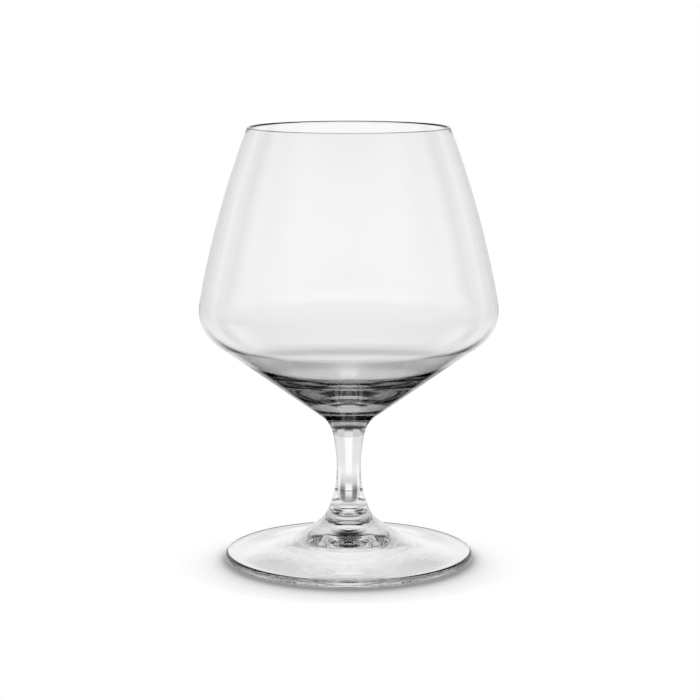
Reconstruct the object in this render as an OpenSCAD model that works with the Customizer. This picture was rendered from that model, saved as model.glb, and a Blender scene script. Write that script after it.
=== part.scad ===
// Brandy snifter: a wide, thin-walled bowl on a short drawn stem and a round foot.
// The three gathers of glass are fused face to face. Millimetres, +Z up,
// origin on the table under the centre of the foot.

/* [Bowl] */
// Height of the bowl from its joint with the stem to the rim
bowl_h = 95; // [80:0.5:120]
// Largest outside diameter of the bowl
bowl_d = 92; // [80:0.5:110]
// Height of the widest place above the joint with the stem
belly_h = 39.2; // [34:0.2:50]
// Radius of the rounded shoulder at the widest place
shoulder_r = 12.5; // [8:0.5:18]
// Outside diameter of the mouth
rim_d = 62; // [50:0.5:72]
// Radius of the long curve of the side, from shoulder to rim
side_r = 299; // [180:1:500]
// Thickness of the wall at the shoulder
wall_t = 1.2; // [1:0.1:2.5]
// Thickness of the wall at the rounded rim
rim_t = 1; // [0.7:0.1:1.8]
// Thickness of the wall along the cone under the shoulder
cone_t = 1.2; // [1:0.1:3]
// Radius of the bend inside the shoulder
bend_r = 11.5; // [8:0.1:18]
// Radius of the dished floor inside the bowl
floor_r = 55; // [20:0.5:60]
// Height of the neck, from the joint with the stem to the corner under the bowl
neck_h = 3.8; // [2.5:0.1:6]
// Radius of the curve from the neck into the underside of the bowl
neck_r = 9.5; // [3:0.5:14]

/* [Stem] */
// Length of the stem between its two joints
stem_h = 24; // [18:0.5:40]
// Diameter of the stem at its waist
waist_d = 7.5; // [6:0.1:10]
// Height of the waist above the joint with the foot
waist_h = 13.2; // [9:0.2:16]
// Growth of the stem's radius from the waist up to the bowl
top_swell = 1.1; // [0.4:0.1:2.5]
// Growth of the stem's radius from the waist down to the foot
foot_swell = 2.8; // [1:0.1:4]

/* [Foot] */
// Height of the foot at its joint with the stem
foot_h = 15; // [12:0.5:20]
// Diameter of the foot
foot_d = 77; // [60:0.5:86]
// Thickness of the foot's rounded edge
edge_t = 2.4; // [1.6:0.1:3.5]
// Radius of the flare at the joint with the stem
flare_r = 8.1; // [4:0.1:12]
// Radius of the long sweep from the flare out to the edge
sweep_r = 41; // [30:1:120]
// Width of the flat ring that the foot stands on
stand_w = 3.6; // [1.5:0.1:12]
// Rise of the hollow underside at its centre
hollow_h = 6.1; // [1:0.1:7]
// Radius of the curve from the hollow into the standing ring
stand_r = 49; // [10:1:70]

/* [Hidden] */
$fn = 96;

// Furthest that a straight piece of an outline may lie from its true curve
chord_err = 0.01;
glass_tint = [0.86, 0.92, 0.93, 0.55];

// Heights of the joints, the widest place and the rim above the table
bowl_z = foot_h + stem_h;
belly_z = bowl_z + belly_h;
rim_z = bowl_z + bowl_h;

// A point at distance r and angle a from c, in the half plane of radius and height
function polar(c, r, a) = c + r * [cos(a), sin(a)];

// Points along an arc from angle a0 to angle a1, close enough together for chord_err
function arc(c, r, a0, a1) =
    let (step = 2 * acos(1 - min(chord_err / r, 1)), n = max(2, ceil(abs(a1 - a0) / step)))
    [for (i = [0 : n]) polar(c, r, a0 + (a1 - a0) * i / n)];

// Direction of the line from p to q, in degrees
function heading(p, q) = atan2(q[1] - p[1], q[0] - p[0]);

// Direction of the line that passes r0 to the right of p and then r1 to the right of q
function tangent(p, r0, q, r1) = heading(p, q) + asin((r0 - r1) / norm(q - p));

// Arc of radius r that rounds corner b between a and c, limited by the shorter side
function fillet(a, b, c, r) =
    let (
        u = (a - b) / norm(a - b),
        v = (c - b) / norm(c - b),
        half = acos(u * v) / 2,
        fit_r = min(r, min(norm(a - b), norm(c - b)) * tan(half)),
        centre = b + (u + v) / norm(u + v) * fit_r / sin(half),
        start = heading(centre, b + u * fit_r / tan(half)),
        end = heading(centre, b + v * fit_r / tan(half)),
        turn = end - start,
        sweep = turn > 180 ? turn - 360 : turn < -180 ? turn + 360 : turn
    )
    arc(centre, fit_r, start, start + sweep);

// Stem: one arc up and one down from the waist, which lean out from upright at the joints
waist_p = [waist_d / 2, foot_h + waist_h];
top_r = waist_d / 2 + top_swell;
bottom_r = waist_d / 2 + foot_swell;
top_lean = 2 * atan(top_swell / (stem_h - waist_h));
bottom_lean = 2 * atan(foot_swell / waist_h);
top_curve_r = (stem_h - waist_h) / sin(top_lean);
bottom_curve_r = waist_h / sin(bottom_lean);

// Point at distance b from p and c from q, to the left of the way from p to q
function third_point(p, b, q, c) =
    let (a = norm(q - p), turn = acos((pow(a, 2) + pow(b, 2) - pow(c, 2)) / (2 * a * b)))
    polar(p, b, heading(p, q) + turn);

// Bowl: the long curves of the side, outside and inside, run from the shoulder's circles
// to the round of the lip, so that the wall thins towards the rim
shoulder_c = [bowl_d / 2 - shoulder_r, belly_z];
lip_c = [(rim_d - rim_t) / 2, rim_z - rim_t / 2];
side_in_r = side_r - wall_t;
side_c = third_point(shoulder_c, side_r - shoulder_r, lip_c, side_r - rim_t / 2);
side_in_c = third_point(shoulder_c, side_r - shoulder_r, lip_c, side_in_r + rim_t / 2);

// Underside: from the corner above the neck, a straight cone up to the shoulder
neck_p = [top_r + neck_h * tan(top_lean), bowl_z + neck_h];
cone_a = tangent(neck_p, 0, shoulder_c, shoulder_r);
cone_p = polar(shoulder_c, shoulder_r, cone_a - 90);

// Bend inside: a circle inside the side's inner curve that also touches the cone's inner line
bend_line_p = polar(cone_p, cone_t + bend_r, cone_a + 90);
bend_way = [cos(cone_a), sin(cone_a)];
bend_near = (side_in_c - bend_line_p) * bend_way;
bend_off = norm(side_in_c - bend_line_p - bend_near * bend_way);
bend_c = bend_line_p + (bend_near + sqrt(pow(side_in_r - bend_r, 2) - pow(bend_off, 2))) * bend_way;
bend_p = polar(bend_c, bend_r, cone_a - 90);

// Floor inside: a dish that closes the inner cone, no wider than the start of the bend
cone_tip = [0, bend_p[1] - bend_p[0] * tan(cone_a)];
dish_r = min(floor_r, norm(bend_p - cone_tip) / tan(cone_a));
dish_c = cone_tip + [0, dish_r / cos(cone_a)];

// Foot: the flare leaves the stem in line with it, and the sweep joins it to the rounded edge
edge_c = [(foot_d - edge_t) / 2, edge_t / 2];
flare_c = polar([bottom_r, foot_h], flare_r, bottom_lean);
sweep_c = third_point(flare_c, sweep_r - flare_r, edge_c, sweep_r + edge_t / 2);

// Hollow under the foot: a dome that turns smoothly down onto the standing ring
stand_in_r = edge_c[0] - stand_w;
dome_span = (pow(stand_in_r, 2) + pow(hollow_h, 2)) / (2 * hollow_h);
stand_fit_r = min(stand_r, dome_span / 2);
dome_r = dome_span - stand_fit_r;
dome_a = asin(stand_in_r / dome_span);

function bowl_outline() = concat(
    arc(dish_c, dish_r, -90, cone_a - 90),
    arc(bend_c, bend_r, cone_a - 90, heading(side_in_c, bend_c)),
    arc(side_in_c, side_in_r, heading(side_in_c, bend_c), heading(side_in_c, lip_c)),
    arc(lip_c, rim_t / 2, heading(side_in_c, lip_c) + 180, heading(side_c, lip_c)),
    arc(side_c, side_r, heading(side_c, lip_c), heading(side_c, shoulder_c)),
    arc(shoulder_c, shoulder_r, heading(side_c, shoulder_c), cone_a - 90),
    fillet(cone_p, neck_p, [top_r, bowl_z], neck_r),
    [[top_r, bowl_z], [0, bowl_z]]
);

function stem_outline() = concat(
    [[0, bowl_z]],
    arc(waist_p + [top_curve_r, 0], top_curve_r, 180 - top_lean, 180),
    arc(waist_p + [bottom_curve_r, 0], bottom_curve_r, 180, 180 + bottom_lean),
    [[0, foot_h]]
);

function foot_outline() = concat(
    arc([0, hollow_h - dome_r], dome_r, 90, 90 - dome_a),
    arc([stand_in_r, stand_fit_r], stand_fit_r, 270 - dome_a, 270),
    arc(edge_c, edge_t / 2, -90, heading(edge_c, sweep_c)),
    arc(sweep_c, sweep_r, heading(sweep_c, edge_c), heading(sweep_c, flare_c)),
    arc(flare_c, flare_r, heading(sweep_c, flare_c), bottom_lean - 180),
    [[0, foot_h]]
);

// Turns an outline about the axis, without the points that two stretches share
module turned(outline) {
    rotate_extrude()
        polygon([
            for (i = [0 : len(outline) - 1])
                if (i == 0 || norm(outline[i] - outline[i - 1]) > chord_err) outline[i]
        ]);
}

module bowl() {
    color(glass_tint) turned(bowl_outline());
}

module stem() {
    color(glass_tint) turned(stem_outline());
}

module foot() {
    color(glass_tint) turned(foot_outline());
}

bowl();
stem();
foot();
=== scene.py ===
# %% [markdown]
# # A brandy snifter in clear glass
#
# A snifter is three gathers of glass fused hot: a wide thin bowl, a short drawn stem and a
# round foot. Clear glass has no colour of its own, so its look is all in two things: the exact
# shape of both its skins, and what stands around it to be bent and mirrored. This lesson turns
# the three pieces as smooth closed skins, then builds a plain studio for glass around them.
#
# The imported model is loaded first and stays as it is. It gives the sizes, and its box is kept
# so that the finished piece can be measured against it.

# %% The fixed frame
from math import acos, atan, atan2, ceil, cos, pi, radians, sin, tan, tau

import bmesh
import bpy
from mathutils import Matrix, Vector


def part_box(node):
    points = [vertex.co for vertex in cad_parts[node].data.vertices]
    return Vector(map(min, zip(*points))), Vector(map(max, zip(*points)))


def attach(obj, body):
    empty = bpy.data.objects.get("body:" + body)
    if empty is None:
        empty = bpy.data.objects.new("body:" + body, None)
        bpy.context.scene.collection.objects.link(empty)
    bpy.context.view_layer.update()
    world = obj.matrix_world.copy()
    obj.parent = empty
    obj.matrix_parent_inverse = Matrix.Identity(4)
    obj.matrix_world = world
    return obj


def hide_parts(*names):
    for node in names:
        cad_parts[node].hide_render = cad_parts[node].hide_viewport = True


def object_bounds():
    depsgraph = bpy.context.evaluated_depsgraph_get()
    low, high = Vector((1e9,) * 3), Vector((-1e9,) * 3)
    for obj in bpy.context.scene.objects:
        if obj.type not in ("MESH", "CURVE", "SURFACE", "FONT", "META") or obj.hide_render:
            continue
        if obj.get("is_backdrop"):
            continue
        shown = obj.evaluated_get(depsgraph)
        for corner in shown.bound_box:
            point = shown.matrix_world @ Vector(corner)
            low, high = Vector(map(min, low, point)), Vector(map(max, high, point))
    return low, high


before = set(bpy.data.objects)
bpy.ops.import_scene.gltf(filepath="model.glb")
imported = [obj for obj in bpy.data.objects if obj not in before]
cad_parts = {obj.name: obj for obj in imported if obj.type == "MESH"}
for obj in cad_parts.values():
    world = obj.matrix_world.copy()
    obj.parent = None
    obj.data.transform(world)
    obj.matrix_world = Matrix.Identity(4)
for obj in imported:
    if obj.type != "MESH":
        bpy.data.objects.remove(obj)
cad_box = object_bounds()
scene = bpy.context.scene
print("CAD box in metres:", [[round(c, 4) for c in corner] for corner in cad_box])

# %% [markdown]
# ## Camera
#
# The glass was photographed from a little above its rim, with a long lens, so that the rim is a
# flat oval and the side keeps its true outline. A camera can be placed by eye, but the ovals of
# rim and foot give its height and distance exactly: only one place makes both of them right.

# %% Camera
MM = 0.001

CAMERA_BACK = 679.3 * MM
CAMERA_HEIGHT = 175.7 * MM
CAMERA_PITCH = radians(9.223)
SENSOR_MM = 36
IMAGE_SIDE = 700
FOCAL_PIXELS = 2233.7
CENTRE_PIXELS = 1.25

lens = bpy.data.cameras.new("camera")
lens.sensor_width = SENSOR_MM
lens.lens = FOCAL_PIXELS / IMAGE_SIDE * SENSOR_MM
lens.shift_x = CENTRE_PIXELS / IMAGE_SIDE
camera = bpy.data.objects.new("camera", lens)
camera.location = (0, -CAMERA_BACK, CAMERA_HEIGHT)
camera.rotation_euler = (pi / 2 - CAMERA_PITCH, 0, 0)
scene.collection.objects.link(camera)
scene.camera = camera
print(f"camera: {lens.lens:.1f} mm lens, {CAMERA_BACK:.3f} m in front of the axis")

# %% [markdown]
# ## Drawing an outline
#
# A glass is round about its axis, so each piece needs only half of its section. That outline
# could be a row of points, but then its curves are as smooth as the row. Here it starts from
# one vertex, and each curve is that vertex spun about the curve's own centre, as a compass
# draws it. Two curves run into each other without a corner when their centres and the place
# where they meet lie on one line. The radius runs along X and the height along Z.

# %% Compass and ruler
CHORD_ERR = 0.002 * MM
LEAST_STEPS = 4


def spot(radius, height):
    """A place on the section."""
    return Vector((radius, 0, height))


def away(centre, reach, angle):
    """The place at a distance and a direction from a centre. Up is a quarter turn."""
    return centre + reach * Vector((cos(angle), 0, sin(angle)))


def bearing(start, end):
    """The direction of the way from start to end."""
    return atan2(end.z - start.z, end.x - start.x)


def third_corner(first, first_reach, second, second_reach):
    """The place at its own distance from each of two others, to the left of the way between them."""
    side = (second - first).length
    turn = acos((side**2 + first_reach**2 - second_reach**2) / (2 * side * first_reach))
    return away(first, first_reach, bearing(first, second) + turn)


def curve_to(bm, tip, centre, angle):
    """Spins the outline's last vertex about a centre to a direction, and returns the new last one."""
    turn = (angle - bearing(centre, tip.co) + pi) % tau - pi
    step = 2 * acos(1 - CHORD_ERR / (tip.co - centre).length)
    steps = max(LEAST_STEPS, ceil(abs(turn) / step))
    made = bmesh.ops.spin(bm, geom=[tip], cent=centre, axis=(0, -1, 0), angle=turn, steps=steps)
    return next(v for v in made["geom_last"] if isinstance(v, bmesh.types.BMVert))


def line_to(bm, tip, end, parts=1):
    """Draws a straight stretch, in a few parts where smooth shading has to stay true along it."""
    stride = (end - tip.co) / parts
    for _ in range(parts):
        tip = bmesh.ops.extrude_vert_indiv(bm, verts=[tip])["verts"][0]
        bmesh.ops.translate(bm, verts=[tip], vec=stride)
    return tip


# %% [markdown]
# ## From outline to glass
#
# Spinning the outline once round the axis makes the skin. The seam is merged, and so are the
# many copies of each vertex that lies on the axis, which closes the poles. Only then are the
# normals turned outwards.
#
# Where two gathers meet, the glass runs on with nothing to see. The faces of such a joint get a
# second material slot that lets light straight through, and their ring is marked sharp, so that
# the flat joint doesn't bend the shading of the wall. Two faces in one place would be met in
# any order, so the stem stops a hair short at both ends, far less than the eye can see.

# %% Turning
ML = 1e-6
TURN_STEPS = 224
SAME_SPOT = 0.0001 * MM
SAME_LEVEL = 0.001 * MM


def turn_piece(name, bm, node, joints):
    """Spins an outline into a closed piece that takes the place of a CAD node."""
    bmesh.ops.spin(bm, geom=bm.verts[:] + bm.edges[:], cent=(0, 0, 0), axis=(0, 0, 1),
                   angle=tau, steps=TURN_STEPS, use_merge=True)
    bmesh.ops.remove_doubles(bm, verts=bm.verts, dist=SAME_SPOT)
    bmesh.ops.recalc_face_normals(bm, faces=bm.faces)
    for face in bm.faces:
        on_joint = any(all(abs(v.co.z - z) < SAME_LEVEL for v in face.verts) for z in joints)
        face.material_index = int(on_joint)
        face.smooth = not on_joint
    for edge in bm.edges:
        edge.smooth = len({face.material_index for face in edge.link_faces}) == 1
    open_edges = sum(len(edge.link_faces) != 2 for edge in bm.edges)
    volume = bm.calc_volume() / ML
    mesh = bpy.data.meshes.new(name)
    bm.to_mesh(mesh)
    bm.free()
    piece = bpy.data.objects.new(name, mesh)
    scene.collection.objects.link(piece)
    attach(piece, "root")
    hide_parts(node)
    print(f"{name}: {len(mesh.polygons)} faces, {open_edges} open edges, {volume:.1f} ml of glass")
    return piece


# %% [markdown]
# ## Stem
#
# The stem is drawn out of the hot bowl, so it is narrowest at a waist and swells towards both
# ends. A straight rod with rounded ends would look cast. Two arcs that share an upright tangent
# at the waist give the drawn look, and the lean that they reach at the joints is handed on to
# bowl and foot, so that the outline runs on across them.

# %% Stem
stem_low, stem_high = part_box("stem")
foot_z, bowl_z = stem_low.z, stem_high.z
stem_foot_r = stem_high.x

WAIST_R = 3.75 * MM
WAIST_UP = 13.2 * MM
TOP_SWELL = 1.1 * MM
JOINT_GAP = 0.002 * MM

waist_z = foot_z + WAIST_UP
stem_top_r = WAIST_R + TOP_SWELL
foot_lean = 2 * atan((stem_foot_r - WAIST_R) / WAIST_UP)
top_lean = 2 * atan(TOP_SWELL / (bowl_z - waist_z))
foot_curve_r = WAIST_UP / sin(foot_lean)
top_curve_r = (bowl_z - waist_z) / sin(top_lean)

stem_ends = [foot_z + JOINT_GAP, bowl_z - JOINT_GAP]
outline = bmesh.new()
tip = outline.verts.new(spot(0, stem_ends[0]))
tip = line_to(outline, tip, spot(stem_foot_r, stem_ends[0]))
tip = curve_to(outline, tip, spot(WAIST_R + foot_curve_r, waist_z), pi)
tip = curve_to(outline, tip, spot(WAIST_R + top_curve_r, waist_z), pi - top_lean)
bmesh.ops.translate(outline, verts=[tip], vec=(0, 0, stem_ends[1] - tip.co.z))
line_to(outline, tip, spot(0, stem_ends[1]))
stem = turn_piece("stem_glass", outline, "stem", stem_ends)

# %% [markdown]
# ## Foot
#
# The foot is a gather spun out flat while hot. It leaves the stem in a tight flare, sweeps out
# in one long hollow curve, and ends in a rounded edge. Underneath, a wide dome rises to the
# centre, so that the glass stands on a ring and doesn't rock, and the foot stays clear and
# light. The top could be a plain cone, but only flare and sweep together leave one small dark
# eye under the stem.

# %% Foot
foot_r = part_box("foot")[1].x

EDGE_R = 1.2 * MM
FLARE_R = 8.1 * MM
SWEEP_R = 41 * MM
STAND_W = 3.6 * MM
STAND_R = 49 * MM
STAND_PARTS = 3
HOLLOW = 6.1 * MM

edge_c = spot(foot_r - EDGE_R, EDGE_R)
flare_c = away(spot(stem_foot_r, foot_z), FLARE_R, foot_lean)
sweep_c = third_corner(flare_c, SWEEP_R - FLARE_R, edge_c, SWEEP_R + EDGE_R)
stand_c = spot(edge_c.x - STAND_W, STAND_R)
dome_reach = (stand_c.x**2 + HOLLOW**2) / (2 * HOLLOW)
dome_c = spot(0, HOLLOW + STAND_R - dome_reach)

outline = bmesh.new()
tip = outline.verts.new(spot(0, HOLLOW))
tip = curve_to(outline, tip, dome_c, bearing(dome_c, stand_c))
tip = curve_to(outline, tip, stand_c, -pi / 2)
tip = line_to(outline, tip, spot(edge_c.x, 0), STAND_PARTS)
tip = curve_to(outline, tip, edge_c, 0)
tip = curve_to(outline, tip, edge_c, bearing(edge_c, sweep_c))
tip = curve_to(outline, tip, sweep_c, bearing(sweep_c, flare_c))
tip = curve_to(outline, tip, flare_c, foot_lean - pi)
line_to(outline, tip, spot(0, foot_z))
foot = turn_piece("foot_glass", outline, "foot", [foot_z])

# %% [markdown]
# ## Bowl
#
# The bowl is blown, so its wall is thin at the rim and gathers into a thick solid base. The
# outside goes from a small neck along a cone to a rounded shoulder, then in one long curve to
# the rim. The inside has its own shoulder and a dished floor. Thickening one skin with a
# Solidify modifier would give the same wall everywhere and lose the heavy base, whose dark and
# light bands are the strongest feature of the glass. So both skins are drawn.

# %% Bowl curves
bowl_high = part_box("bowl")[1]
rim_z = bowl_high.z
belly_r = bowl_high.x

BELLY_UP = 39.2 * MM
SHOULDER_R = 12.5 * MM
RIM_R = 31 * MM
LIP_R = 0.5 * MM
SIDE_R = 299 * MM
WALL = 1.2 * MM
CONE_WALL = 1.2 * MM
BEND_R = 11.5 * MM
DISH_R = 55 * MM
NECK_UP = 3.8 * MM

shoulder_c = spot(belly_r - SHOULDER_R, bowl_z + BELLY_UP)
lip_c = spot(RIM_R - LIP_R, rim_z - LIP_R)
side_in_r = SIDE_R - WALL
side_c = third_corner(shoulder_c, SIDE_R - SHOULDER_R, lip_c, SIDE_R - LIP_R)
side_in_c = third_corner(shoulder_c, SIDE_R - SHOULDER_R, lip_c, side_in_r + LIP_R)

neck = spot(stem_top_r + NECK_UP * tan(top_lean), bowl_z + NECK_UP)
neck_way = (shoulder_c - neck).length
cone = bearing(neck, shoulder_c) - pi / 2 + acos(SHOULDER_R / neck_way)
cone_end = away(shoulder_c, SHOULDER_R, cone - pi / 2)

bend_line = away(cone_end, CONE_WALL + BEND_R, cone + pi / 2)
along = away(spot(0, 0), 1, cone)
near = (side_in_c - bend_line).dot(along)
off_line = (side_in_c - bend_line - near * along).length
bend_c = bend_line + (near + ((side_in_r - BEND_R)**2 - off_line**2)**0.5) * along
bend_start = away(bend_c, BEND_R, cone - pi / 2)
dish_c = spot(0, bend_start.z - bend_start.x * tan(cone) + DISH_R / cos(cone))
print(f"cone {cone / pi * 180:.1f} degrees, floor at {(dish_c.z - DISH_R) / MM:.2f} mm")

# %% [markdown]
# The neck runs into the cone in a small round. Its centre lies on the line that halves the
# corner between them, as far out as the radius asks. Then both skins are drawn in one go, from
# the middle of the dished floor up the inside, over the lip and down the outside to the joint.

# %% Bowl
NECK_R = 9.5 * MM
INNER_CONE_PARTS = 8
OUTER_CONE_PARTS = 16
NECK_PARTS = 2

neck_in = (spot(stem_top_r, bowl_z) - neck).normalized()
neck_half = neck_in.angle(along) / 2
neck_c = neck + (neck_in + along).normalized() * NECK_R / sin(neck_half)
neck_reach = NECK_R / tan(neck_half)

outline = bmesh.new()
tip = outline.verts.new(spot(0, dish_c.z - DISH_R))
tip = curve_to(outline, tip, dish_c, cone - pi / 2)
tip = line_to(outline, tip, bend_start, INNER_CONE_PARTS)
tip = curve_to(outline, tip, bend_c, bearing(side_in_c, bend_c))
tip = curve_to(outline, tip, side_in_c, bearing(side_in_c, lip_c))
tip = curve_to(outline, tip, lip_c, pi / 2)
tip = curve_to(outline, tip, lip_c, bearing(side_c, lip_c))
tip = curve_to(outline, tip, side_c, bearing(side_c, shoulder_c))
tip = curve_to(outline, tip, shoulder_c, cone - pi / 2)
tip = line_to(outline, tip, neck + along * neck_reach, OUTER_CONE_PARTS)
tip = curve_to(outline, tip, neck_c, bearing(neck_c, neck + neck_in * neck_reach))
tip = line_to(outline, tip, spot(stem_top_r, bowl_z), NECK_PARTS)
line_to(outline, tip, spot(0, bowl_z))
bowl = turn_piece("bowl_glass", outline, "bowl", [bowl_z])

# %% [markdown]
# ## Clear glass
#
# All three gathers are soda-lime glass with fire-polished skins: it lets nearly all light
# through, bends it with an index of 1.52, and has no colour. Two things keep it from looking
# like a perfect solid in a computer. Its skin is never quite even, and how it is uneven tells
# how the piece was made. And glass takes a little light on the way, so thick places look
# darker than thin ones. A grey base colour would darken each skin alike, so the second one is
# a volume: black takes all colours alike, and the density says how fast. At 25 per metre, 40 mm
# of glass let about a third of the light through. Real clear glass dims far less than that.

# %% Nodes and colours
GLASS_IOR = 1.52


def linear(hex_colour):
    """An sRGB hex colour as the linear colour that shaders use."""
    parts = [int(hex_colour[i:i + 2], 16) / 255 for i in (1, 3, 5)]
    return [c / 12.92 if c <= 0.04045 else ((c + 0.055) / 1.055)**2.4 for c in parts] + [1]


def add_node(tree, kind, settings=None, values=None, links=None, stops=()):
    """Adds a shader node with its settings, input values, links and, on a ramp, grey stops."""
    node = tree.nodes.new("ShaderNode" + kind)
    for key, value in (settings or {}).items():
        setattr(node, key, value)
    for key, value in (values or {}).items():
        node.inputs[key].default_value = value
    for key, socket in (links or {}).items():
        tree.links.new(socket, node.inputs[key])
    for i, (place, grey) in enumerate(stops):
        if i == len(node.color_ramp.elements):
            node.color_ramp.elements.new(place)
        node.color_ramp.elements[i].position = place
        node.color_ramp.elements[i].color = (grey, grey, grey, 1)
    return node


def new_material(name):
    """An empty node material and its tree."""
    material = bpy.data.materials.new(name)
    material.use_nodes = True
    material.node_tree.nodes.clear()
    return material, material.node_tree


def finish_glass(tree, uneven, height, dimming=0, roughness=None):
    """Ends a glass material: an uneven skin on clear glass, and the light lost in its depth."""
    skin = add_node(tree, "Bump", values={"Strength": 1, "Distance": height}, links={"Height": uneven})
    shader = add_node(tree, "BsdfPrincipled",
                      values={"Base Color": linear("#FFFFFF"), "Roughness": 0, "IOR": GLASS_IOR,
                              "Transmission Weight": 1},
                      links={"Normal": skin.outputs["Normal"]})
    ends = {"Surface": shader.outputs["BSDF"]}
    if roughness:
        tree.links.new(roughness, shader.inputs["Roughness"])
    if dimming:
        depth = add_node(tree, "VolumeAbsorption", values={"Color": linear("#000000"), "Density": dimming})
        ends["Volume"] = depth.outputs["Volume"]
    add_node(tree, "OutputMaterial", links=ends)


# %% Blown bowl
# Soda-lime glass, blown: clear, with a faint swim in the skin and a dim, heavy base.
# The dimming is several times that of real clear glass. It is set to bring the base
# nearer to the deep tones that it has in the photograph.
SWIM_MM = 9
SWIM_DEPTH = 0.004 * MM
SOFT_DETAIL = 1
BOWL_DIMMING = 25

blown, tree = new_material("blown_soda_lime_glass")
place = add_node(tree, "TexCoord")
swim = add_node(tree, "TexNoise", values={"Scale": 1 / (SWIM_MM * MM), "Detail": SOFT_DETAIL},
                links={"Vector": place.outputs["Object"]})
finish_glass(tree, swim.outputs["Fac"], SWIM_DEPTH, BOWL_DIMMING)

# %% Drawn stem
# Soda-lime glass, drawn: the same unevenness, pulled out into soft streaks along the stem.
# It has no dimming: where light crosses a joint, the renderer would go on counting that of the
# piece it has left, and a stem that dims as well shows a dark line there.
STREAK_MM = 3
STREAK_PULL = 8
STREAK_DEPTH = 0.002 * MM

drawn, tree = new_material("drawn_soda_lime_glass")
place = add_node(tree, "TexCoord")
pulled = add_node(tree, "Mapping", values={"Scale": (1, 1, 1 / STREAK_PULL)},
                  links={"Vector": place.outputs["Object"]})
streaks = add_node(tree, "TexNoise", values={"Scale": 1 / (STREAK_MM * MM), "Detail": SOFT_DETAIL},
                   links={"Vector": pulled.outputs["Vector"]})
finish_glass(tree, streaks.outputs["Fac"], STREAK_DEPTH)

# %% [markdown]
# The foot was spread with a tool while it turned, which leaves faint rings round the stem that
# die out towards the edge. They show as the pale rings around the dark centre. The flat ring
# that the glass stands on is the one place that wears: fine scuffs from tables take its polish.

# %% Spun foot
# Soda-lime glass, spun and tooled: faint rings in the skin, and a scuffed standing ring.
# The scuffs are drawn coarser than real ones, which would be too fine to show.
RING_MM = 2.4
RING_DEPTH = 0.02 * MM
RING_WANDER, WANDER_DETAIL, WANDER_SCALE = 1.5, 1, 0.4
RINGS_FROM, RINGS_FULL = 2.6 * MM, 6 * MM
SCUFF_MM = 0.7
SCUFF_UP = 0.04 * MM
SCUFF_DETAIL = 3
SCUFF_ROUGHNESS = 0.12
FOOT_DIMMING = 5

# A wave texture of scale 1 turns through 20 radians in one unit of length.
WAVE_RADIANS = 20

spun, tree = new_material("spun_soda_lime_glass")
place = add_node(tree, "TexCoord")
place_parts = add_node(tree, "SeparateXYZ", links={0: place.outputs["Object"]})
rings = add_node(tree, "TexWave", {"wave_type": "RINGS", "rings_direction": "Z"},
                 {"Scale": tau / (WAVE_RADIANS * RING_MM * MM), "Distortion": RING_WANDER,
                  "Detail": WANDER_DETAIL, "Detail Scale": WANDER_SCALE},
                 {"Vector": place.outputs["Object"]})
fade = add_node(tree, "MapRange", values={"From Min": RINGS_FROM, "From Max": RINGS_FULL},
                links={"Value": place_parts.outputs["Z"]})
tooled = add_node(tree, "Math", {"operation": "MULTIPLY"},
                  links={0: rings.outputs["Fac"], 1: fade.outputs["Result"]})
scuffs = add_node(tree, "TexNoise", values={"Scale": 1 / (SCUFF_MM * MM), "Detail": SCUFF_DETAIL},
                  links={"Vector": place.outputs["Object"]})
on_table = add_node(tree, "MapRange",
                    values={"From Max": SCUFF_UP, "To Min": SCUFF_ROUGHNESS, "To Max": 0},
                    links={"Value": place_parts.outputs["Z"]})
worn = add_node(tree, "Math", {"operation": "MULTIPLY"},
                links={0: scuffs.outputs["Fac"], 1: on_table.outputs["Result"]})
finish_glass(tree, tooled.outputs[0], RING_DEPTH, FOOT_DIMMING, worn.outputs[0])

# %% Fused joints
# Fused joint: glass runs on through it, so light goes straight on and nothing shows.
fused, tree = new_material("fused_glass_joint")
shader = add_node(tree, "BsdfTransparent")
add_node(tree, "OutputMaterial", links={"Surface": shader.outputs["BSDF"]})

for piece, skin in ((bowl, blown), (stem, drawn), (foot, spun)):
    piece.data.materials.append(skin)
    piece.data.materials.append(fused)
    print(piece.name, "is", skin.name)

# %% [markdown]
# ## Floor
#
# The glass stands on a plain white sheet. A lit sheet under glass fills with noisy light spots,
# so this one shows its white by itself, and its shadow is painted: Ambient Occlusion darkens it
# close to the foot, as the soft shadow that tells the eye that the glass stands on it. The light
# of the studio comes mostly from behind, so the painted shadow falls forward: the occlusion looks
# that way, by a lean.
# Seen through the glass, the studio's own tones take the sheet's place.

# %% Floor
FLOOR_R = 3.0
FLOOR_SEGMENTS = 96
FLOOR_GAP = 0.3 * MM
SHADOW_REACH = 16 * MM
SHADOW_LEAN = 0.6
SHADOW_POWER = 4
SHADOW_DEPTH = 0.7
SHADOW_END = 0.96
SHADOW_SAMPLES = 16

bm = bmesh.new()
bmesh.ops.create_circle(bm, cap_ends=True, radius=FLOOR_R, segments=FLOOR_SEGMENTS)
bmesh.ops.translate(bm, verts=bm.verts, vec=(0, 0, -FLOOR_GAP))
floor_mesh = bpy.data.meshes.new("floor")
bm.to_mesh(floor_mesh)
bm.free()
floor = bpy.data.objects.new("floor", floor_mesh)
floor.visible_transmission = False
floor.visible_glossy = False
scene.collection.objects.link(floor)
floor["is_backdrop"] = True

# %% Paper
# White paper: plain and matt, showing its own even white, with nothing to see but the painted shadow on
# it.
sheet, tree = new_material("white_paper_painted_shadow")
lean = add_node(tree, "CombineXYZ", values={"Y": SHADOW_LEAN, "Z": (1 - SHADOW_LEAN**2)**0.5})
contact = add_node(tree, "AmbientOcclusion", {"samples": SHADOW_SAMPLES}, {"Distance": SHADOW_REACH},
                   {"Normal": lean.outputs["Vector"]})
shade = add_node(tree, "Math", {"operation": "POWER"}, {1: SHADOW_POWER}, {0: contact.outputs["AO"]})
shade = add_node(tree, "MapRange", values={"From Max": SHADOW_END, "To Min": 1 - SHADOW_DEPTH},
                 links={"Value": shade.outputs[0]})
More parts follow.
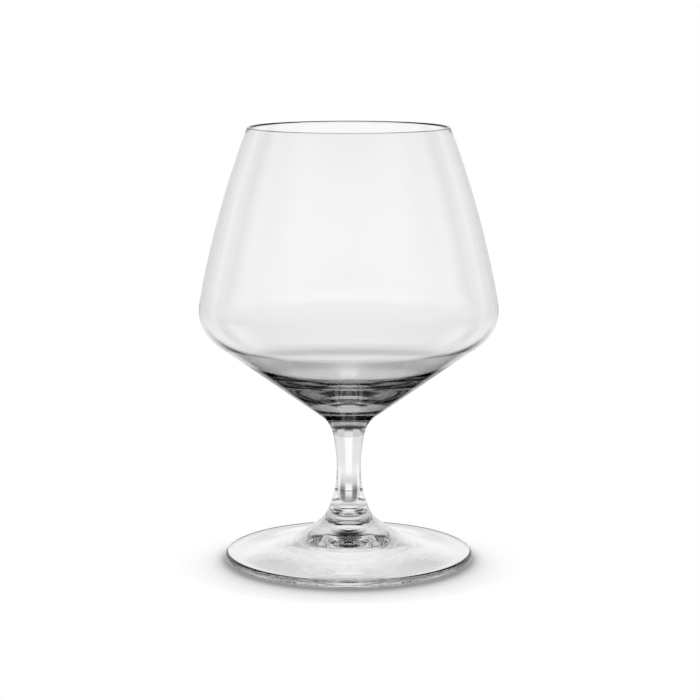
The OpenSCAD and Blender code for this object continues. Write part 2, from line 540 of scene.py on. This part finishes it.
# Painted shadow: the sheet's glow is dimmed where the occlusion is high, close to the foot.
shader = add_node(tree, "Emission", values={"Color": linear("#FFFFFF")},
                  links={"Strength": shade.outputs[0]})
add_node(tree, "OutputMaterial", links={"Surface": shader.outputs["Emission"]})
floor_mesh.materials.append(sheet)
print("floor", FLOOR_R, "m in radius")

# %% [markdown]
# ## Studio for glass
#
# Glass on white vanishes unless something dark is near it. In a studio for glass, a bright panel
# stands behind it between pale side walls, a dark grey card stands on each side, and a soft light
# hangs in front above the camera. What is high up stays dark, and so does a strip of the table
# behind, low down and to both sides of the middle: that draws the lines along the rim and the
# bands in the thick base. A soft dip in the panel gives the shade low in the bowl. Panels and
# cards as real objects would get in the way of other views, so the world holds them, as ramps of
# brightness by height in degrees: behind the glass, beside that, at the sides, on the cards and
# in front. The sides come twice, before the cards and after them, and each turn gives the angles
# round the axis between which one ramp goes over into the next. The tones were found by trying
# them against the photograph, so they suit the view from the front best, and from other sides
# the base is paler. Glass sees these ramps. The camera itself sees plain white.

# %% Studio tones
BEHIND = [(-90, 0.95), (-75, 0.8), (-66, 0), (-56, 0.05), (-45, 0.5), (-38, 0.9), (-34, 1), (-27, 1),
          (-24, 0.88), (-21, 0.66), (-19, 0.68), (-16, 0.88), (-13, 0.98), (12, 1), (24, 0.3), (34, 0)]
BESIDE = [(-90, 0.95), (-75, 0.8), (-66, 0), (-30, 0), (-23, 0.6), (-14, 0.86),
          (-8, 0.76), (10, 0.76), (20, 0.9), (30, 0.7), (38, 0.3), (46, 0)]
AT_SIDES = [(-90, 0.95), (-75, 0.85), (-58, 0.6), (-45, 0.7), (-36, 0.9), (-29, 0.95), (-14, 0.95),
            (-7, 0.78), (8, 0.78), (14, 0.7), (24, 0.3), (34, 0)]
ON_CARDS = [(-90, 0.95), (-75, 0.8), (-55, 0.5), (-36, 0.4), (-29, 0.2), (-14, 0.3), (-6, 0.45),
            (8, 0.4), (18, 0.2), (30, 0)]
IN_FRONT = [(-90, 0.95), (-75, 0.7), (-60, 0.5), (-50, 0.6), (-41, 1), (-35, 1), (-28, 0.85),
            (3, 0.85), (9, 1), (22, 1), (30, 0.65), (38, 0)]
ROUND_THE_AXIS = (BEHIND, BESIDE, AT_SIDES, ON_CARDS, AT_SIDES, IN_FRONT)
TURNS = [(8, 14), (29, 36), (54, 62), (70, 79), (105, 130)]

# %% Studio
studio = bpy.data.worlds.new("studio")
scene.world = studio
studio.use_nodes = True
tree = studio.node_tree
tree.nodes.clear()
way = add_node(tree, "TexCoord")
way_parts = add_node(tree, "SeparateXYZ", links={0: way.outputs["Generated"]})
height = add_node(tree, "Math", {"operation": "ARCSINE"}, links={0: way_parts.outputs["Z"]})
height = add_node(tree, "MapRange", values={"From Min": -pi / 2, "From Max": pi / 2},
                  links={"Value": height.outputs[0]})
side = add_node(tree, "Math", {"operation": "ABSOLUTE"}, links={0: way_parts.outputs["X"]})
side = add_node(tree, "Math", {"operation": "ARCTAN2"},
                links={0: side.outputs[0], 1: way_parts.outputs["Y"]})
ramps = [add_node(tree, "ValToRGB", links={"Fac": height.outputs["Result"]},
                  stops=[((angle + 90) / 180, grey) for angle, grey in tones])
         for tones in ROUND_THE_AXIS]
seen = ramps[0].outputs["Color"]
for ramp, (start, end) in zip(ramps[1:], TURNS):
    share = add_node(tree, "MapRange", values={"From Min": radians(start), "From Max": radians(end)},
                     links={"Value": side.outputs[0]})
    mixed = add_node(tree, "Mix", {"data_type": "FLOAT"},
                     links={"Factor": share.outputs["Result"], "A": seen, "B": ramp.outputs["Color"]})
    seen = mixed.outputs["Result"]
ray = add_node(tree, "LightPath")
by_glass = add_node(tree, "Math", {"operation": "MAXIMUM"},
                    links={0: ray.outputs["Is Glossy Ray"], 1: ray.outputs["Is Transmission Ray"]})
level = add_node(tree, "Mix", values={"A": 1}, links={"Factor": by_glass.outputs[0], "B": seen})
shader = add_node(tree, "Background", values={"Color": linear("#FFFFFF")},
                  links={"Strength": level.outputs["Result"]})
add_node(tree, "OutputWorld", links={"Surface": shader.outputs["Background"]})
print("studio of", len(ramps), "ramps")

# %% [markdown]
# ## Light paths
#
# Light crosses many skins on its way through a glass, and each crossing counts as a bounce.
# The usual limits cut such paths short and leave black patches, so they are raised here. The
# view transform is Standard, so that white stays white.

# %% Light paths
CROSSINGS = 24
MIRRORINGS = 12

scene.cycles.max_bounces = CROSSINGS
scene.cycles.transmission_bounces = CROSSINGS
scene.cycles.transparent_max_bounces = CROSSINGS
scene.cycles.glossy_bounces = MIRRORINGS
scene.cycles.blur_glossy = 0
scene.view_settings.view_transform = "Standard"
print("light may cross", CROSSINGS, "skins")

# %% [markdown]
# ## Sizes
#
# A slip in one radius is hard to see in clear glass, but it shows in numbers. So the box of the
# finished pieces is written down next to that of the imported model.

# %% Sizes
sizes = {"cad": cad_box, "visual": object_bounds()}
sizes = {key: [[float(c) for c in corner] for corner in box] for key, box in sizes.items()}
print("sizes", sizes)
